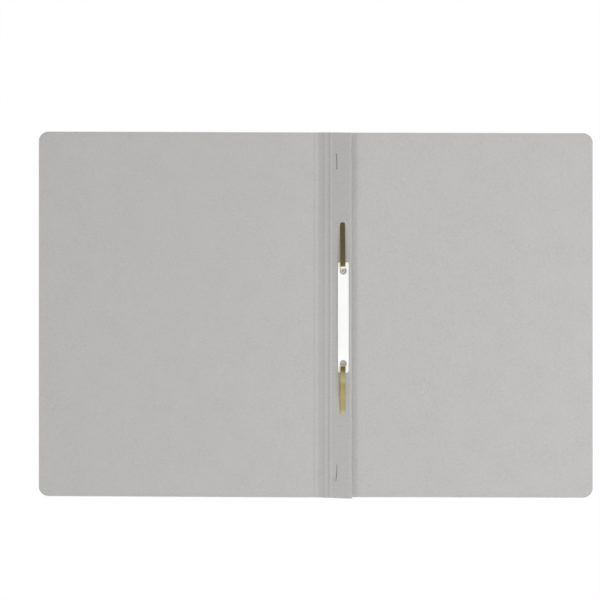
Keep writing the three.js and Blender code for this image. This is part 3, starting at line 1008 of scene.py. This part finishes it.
def make_numerals(ink):
    """Plain numerals 1 to 5 at the form's rows, lying on the outer face and read from outside."""
    near = [FORM_START + place for place in FORM_NUMERALS]
    corners = [(near[0], y) for y in FORM_ROWS] + [(near[1], y) for y in FORM_ROWS[:2]]
    points, faces, base = [], [], 0
    for i, (start, low) in enumerate(corners):
        curve = bpy.data.curves.new("numeral", "FONT")
        curve.body = str(i + 1)
        curve.size = NUMERAL_SIZE
        curve.extrude = INK / 2
        flat, shape = curve_shape(curve)
        x, z = outer_face(start + flat[:, 0])
        y = low + flat[:, 1]
        points.append(np.stack([x, y, z + front_lift(x, y) - INK / 2 - flat[:, 2]], axis=-1))
        faces += [[base + corner for corner in face] for face in shape]
        base += len(flat)
    piece = finish_mesh("print_numerals", np.concatenate(points), faces, ink)
    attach(piece, "front")


def make_print(ink):
    """All of the print, split where the card bends."""
    front = ink_boxes("print_front", front_bars(), front_lift, ink)
    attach(front, "front")
    before = CREASE_REACH - CREASE_BEND
    bars = rules([(start, before, y) for y, start in SPINE_MARKS], THIN)
    strip = ink_boxes("print_strip", bars, strip_lift, ink, pitch=0.3)
    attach(strip, "strip")
    parts = before + CREASE_PART * np.arange(2 * CREASE_BEND / CREASE_PART)
    bars = rules([(part, part + CREASE_PART, y) for y, _ in SPINE_MARKS for part in parts], THIN)
    crease = ink_boxes("print_crease", bars, strip_lift, ink)
    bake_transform(crease)
    make_numerals(ink)


# Studio

PIXELS = 600
MM_PER_PIXEL = 0.8729
ORIGIN_PIXEL = (315.4, 314.9)
CAMERA_HEIGHT = 800.0
SENSOR = 36.0

FLOOR_HALF = 3.0
FLOOR_COLOUR = (0.86, 0.86, 0.86, 1.0)
FLOOR_ROUGHNESS = 0.9
# Strength of the floor's plain white, and its share in what the camera, metal and glass show of the floor
FLOOR_WHITE = 1.01
FLOOR_SHARE = 0.95
WORLD_LEVEL = 0.143
# In metal and glass the world is white up to the first of these heights, and pale from the second on. A
# height is the upward part of the ray's direction.
LOW_SKY = (0.35, 0.55)
# Soft lights: name, place, target, size, radiance, and whether gloss shows them
LIGHTS = (
    ("main_light", (0.3, -2.6, 2.7), (0, 0, 0), (2.0, 1.4), 3.7, True),
    ("right_light", (1.3, -0.2, 1.3), (0, 0, 0), (1.0, 1.0), 2.6, True),
    ("left_light", (-2.2, -0.1, 1.45), (0, 0, 0), (0.9, 0.9), 2.7, True),
    ("fill_light", (0.6, 0.25, 1.3), (0.8, 0, 0), (1.0, 1.0), 1.75, False),
    ("back_light", (0.0, 2.4, 1.6), (0, 0, 0), (3.2, 1.6), 1.52, False),
    ("overhead_light", (-0.1, -0.95, 1.6), (-0.1, -0.95, 0), (2.4, 1.7), 0.765, True),
)


def make_camera():
    """Perspective camera straight above, placed so that the origin falls on its pixel in the frame."""
    camera = bpy.data.cameras.new("camera")
    camera.sensor_width = SENSOR
    camera.lens = SENSOR * CAMERA_HEIGHT / (PIXELS * MM_PER_PIXEL)
    camera.clip_start = 0.01
    camera.clip_end = 20.0
    holder = bpy.data.objects.new("camera", camera)
    x = (PIXELS / 2 - ORIGIN_PIXEL[0]) * MM_PER_PIXEL
    y = (ORIGIN_PIXEL[1] - PIXELS / 2) * MM_PER_PIXEL
    holder.location = (x * MM, y * MM, CAMERA_HEIGHT * MM)
    bpy.context.scene.collection.objects.link(holder)
    bpy.context.scene.camera = holder


def area_light(name, place, target, size, radiance, reflected):
    """A rectangular soft light at a place, turned to face a target. Its power is pi times radiance and area.
    Unless reflected, it lights surfaces but isn't seen in them."""
    light = bpy.data.lights.new(name, "AREA")
    light.shape = "RECTANGLE"
    light.size, light.size_y = size
    light.energy = math.pi * radiance * size[0] * size[1]
    holder = bpy.data.objects.new(name, light)
    holder.location = place
    aim = np.array(place) - np.array(target)
    flat = math.hypot(aim[0], aim[1])
    holder.rotation_euler = (math.atan2(flat, aim[2]), 0.0, math.atan2(aim[0], -aim[1]))
    holder.visible_glossy = reflected
    bpy.context.scene.collection.objects.link(holder)


def combine(add, operation, first, second):
    """Two values combined by a math operation."""
    return add("ShaderNodeMath", {0: first, 1: second}, operation=operation).outputs["Value"]


def background_rays(add):
    """Is Camera Ray, and the larger of Is Glossy Ray and Is Transmission Ray."""
    rays = add("ShaderNodeLightPath").outputs
    return rays["Is Camera Ray"], combine(add, "MAXIMUM", rays["Is Glossy Ray"], rays["Is Transmission Ray"])


def make_floor():
    """Pale floor that shows white to the camera, and in metal and glass, but keeps the shadow."""
    material, shader, add = new_material("floor")
    fill_inputs(shader, {"Base Color": FLOOR_COLOUR, "Roughness": FLOOR_ROUGHNESS})
    white = add("ShaderNodeEmission", {"Color": WHITE, "Strength": FLOOR_WHITE})
    share = combine(add, "MULTIPLY", combine(add, "MAXIMUM", *background_rays(add)), FLOOR_SHARE)
    mixed = add("ShaderNodeMixShader", {0: share, 1: shader.outputs["BSDF"], 2: white.outputs["Emission"]})
    fill_inputs(material.node_tree.nodes["Material Output"], {"Surface": mixed.outputs["Shader"]})
    mesh = bpy.data.meshes.new("floor")
    corners = [(x * FLOOR_HALF, y * FLOOR_HALF, 0) for x, y in ((-1, -1), (1, -1), (1, 1), (-1, 1))]
    mesh.from_pydata(corners, [], [(0, 1, 2, 3)])
    mesh.materials.append(material)
    floor = bpy.data.objects.new("floor", mesh)
    bpy.context.scene.collection.objects.link(floor)


def make_world():
    """Pale world. To the camera it is plain white. In metal and glass it is white low down, where the
    background is, and keeps its pale level overhead, which lets the lights show."""
    world = bpy.data.worlds.new("studio")
    bpy.context.scene.world = world
    world.use_nodes = True
    nodes = world.node_tree.nodes
    add = node_adder(world.node_tree)
    soft = nodes["Background"]
    fill_inputs(soft, {"Color": WHITE, "Strength": WORLD_LEVEL})
    plain = add("ShaderNodeBackground", {"Color": WHITE})
    toward = add("ShaderNodeTexCoord").outputs["Generated"]
    height = add("ShaderNodeSeparateXYZ", {"Vector": toward}).outputs["Z"]
    camera, sent_on = background_rays(add)
    low = combine(add, "MULTIPLY", sent_on, ramp(add, height, *LOW_SKY, 1.0, 0.0))
    shares = {0: combine(add, "MAXIMUM", camera, low), 1: soft.outputs[0], 2: plain.outputs[0]}
    choice = add("ShaderNodeMixShader", shares)
    fill_inputs(nodes["World Output"], {"Surface": choice.outputs[0]})


bpy.context.scene.view_settings.view_transform = "Standard"
make_camera()
make_floor()
make_world()
for soft_light in LIGHTS:
    area_light(*soft_light)
CARD_FINISH = grey_card()
BRASS_FINISH = soft_brass()
make_back_panel(CARD_FINISH)
make_front_panel(CARD_FINISH)
make_strip_panel(CARD_FINISH)
make_crease_fold(CARD_FINISH)
make_spine_folds(CARD_FINISH)
make_flap_card(CARD_FINISH)
make_fastener_base(BRASS_FINISH)
make_prongs(BRASS_FINISH)
make_cover_bar(white_plastic())
make_staples(steel_wire())
make_print(print_ink())
